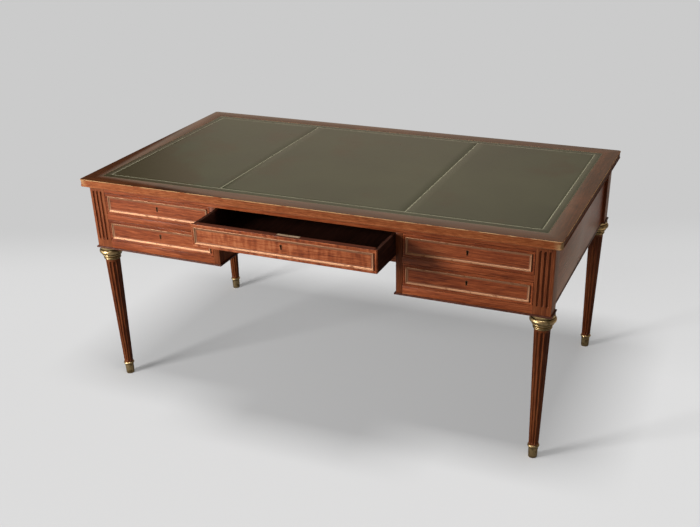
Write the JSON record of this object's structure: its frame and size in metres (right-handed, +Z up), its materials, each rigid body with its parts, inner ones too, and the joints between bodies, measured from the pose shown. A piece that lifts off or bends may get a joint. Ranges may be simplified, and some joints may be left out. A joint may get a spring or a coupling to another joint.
{
  "type": "writing desk",
  "caption": "Flat mahogany writing desk with a leather top, brass-framed drawers, a kneehole and fluted round legs on brass feet.",
  "frame": {"origin": "on the floor, under the centre of the bounding box, with the centre drawer standing 150 mm open", "axes": "+X to the sitter's right, +Z up; the drawers open towards -Y"},
  "size_m": [1.64, 1.0403, 0.76],
  "materials": {
    "mahogany": "polished mahogany veneer and solid mahogany",
    "dark_wood": "dark, worn mahogany edge",
    "secondary_wood": "plain oak, unpolished",
    "leather": "dark olive leather with gilt tooling",
    "brass": "gilt brass, dulled with age",
    "steel": "dull forged steel"
  },
  "bodies": {
    "desk": {"top_core": "secondary_wood", "leather": "leather", "top_border": "mahogany", "post_front_left": "mahogany", "post_front_right": "mahogany", "post_back_left": "mahogany", "post_back_right": "mahogany", "leg_front_left": "mahogany", "leg_front_right": "mahogany", "leg_back_left": "mahogany", "leg_back_right": "mahogany", "leg_collars": "brass", "leg_feet": "brass", "side_panel_left": "mahogany", "side_panel_right": "mahogany", "partition_left": "mahogany", "partition_right": "mahogany", "back_panel_left": "mahogany", "back_panel_right": "mahogany", "back_panel_centre": "mahogany", "base_boards": "dark_wood", "top_rails": "mahogany", "middle_rails": "mahogany", "bottom_rails": "mahogany", "runners": "secondary_wood", "guides": "secondary_wood", "kickers": "secondary_wood", "drawer_stops": "secondary_wood", "top_screws": "steel"},
    "centre_drawer": {"centre_front": "mahogany", "centre_box": "secondary_wood", "centre_brass_frame": "brass", "centre_keyhole_lining": "brass", "centre_lock": "steel"},
    "centre_lock_bolt": {"centre_bolt": "brass"},
    "left_upper_drawer": {"left_upper_front": "mahogany", "left_upper_box": "secondary_wood", "left_upper_brass_frame": "brass", "left_upper_keyhole_lining": "brass", "left_upper_lock": "steel"},
    "left_upper_lock_bolt": {"left_upper_bolt": "brass"},
    "left_lower_drawer": {"left_lower_front": "mahogany", "left_lower_box": "secondary_wood", "left_lower_brass_frame": "brass", "left_lower_keyhole_lining": "brass", "left_lower_lock": "steel"},
    "left_lower_lock_bolt": {"left_lower_bolt": "brass"},
    "right_upper_drawer": {"right_upper_front": "mahogany", "right_upper_box": "secondary_wood", "right_upper_brass_frame": "brass", "right_upper_keyhole_lining": "brass", "right_upper_lock": "steel"},
    "right_upper_lock_bolt": {"right_upper_bolt": "brass"},
    "right_lower_drawer": {"right_lower_front": "mahogany", "right_lower_box": "secondary_wood", "right_lower_brass_frame": "brass", "right_lower_keyhole_lining": "brass", "right_lower_lock": "steel"},
    "right_lower_lock_bolt": {"right_lower_bolt": "brass"}
  },
  "joints": [
    {"name": "centre_drawer_slide", "type": "slide", "parent": "desk", "child": "centre_drawer", "axis": [0, -1, 0], "range_m": [-0.15, 0.21]},
    {"name": "centre_bolt_lift", "type": "slide", "parent": "centre_drawer", "child": "centre_lock_bolt", "axis": [0, 0, 1], "range_m": [0, 0.005]},
    {"name": "left_upper_drawer_slide", "type": "slide", "parent": "desk", "child": "left_upper_drawer", "axis": [0, -1, 0], "range_m": [0, 0.36]},
    {"name": "left_upper_bolt_lift", "type": "slide", "parent": "left_upper_drawer", "child": "left_upper_lock_bolt", "axis": [0, 0, 1], "range_m": [0, 0.005]},
    {"name": "left_lower_drawer_slide", "type": "slide", "parent": "desk", "child": "left_lower_drawer", "axis": [0, -1, 0], "range_m": [0, 0.36]},
    {"name": "left_lower_bolt_lift", "type": "slide", "parent": "left_lower_drawer", "child": "left_lower_lock_bolt", "axis": [0, 0, 1], "range_m": [0, 0.005]},
    {"name": "right_upper_drawer_slide", "type": "slide", "parent": "desk", "child": "right_upper_drawer", "axis": [0, -1, 0], "range_m": [0, 0.36]},
    {"name": "right_upper_bolt_lift", "type": "slide", "parent": "right_upper_drawer", "child": "right_upper_lock_bolt", "axis": [0, 0, 1], "range_m": [0, 0.005]},
    {"name": "right_lower_drawer_slide", "type": "slide", "parent": "desk", "child": "right_lower_drawer", "axis": [0, -1, 0], "range_m": [0, 0.36]},
    {"name": "right_lower_bolt_lift", "type": "slide", "parent": "right_lower_drawer", "child": "right_lower_lock_bolt", "axis": [0, 0, 1], "range_m": [0, 0.005]}
  ]
}
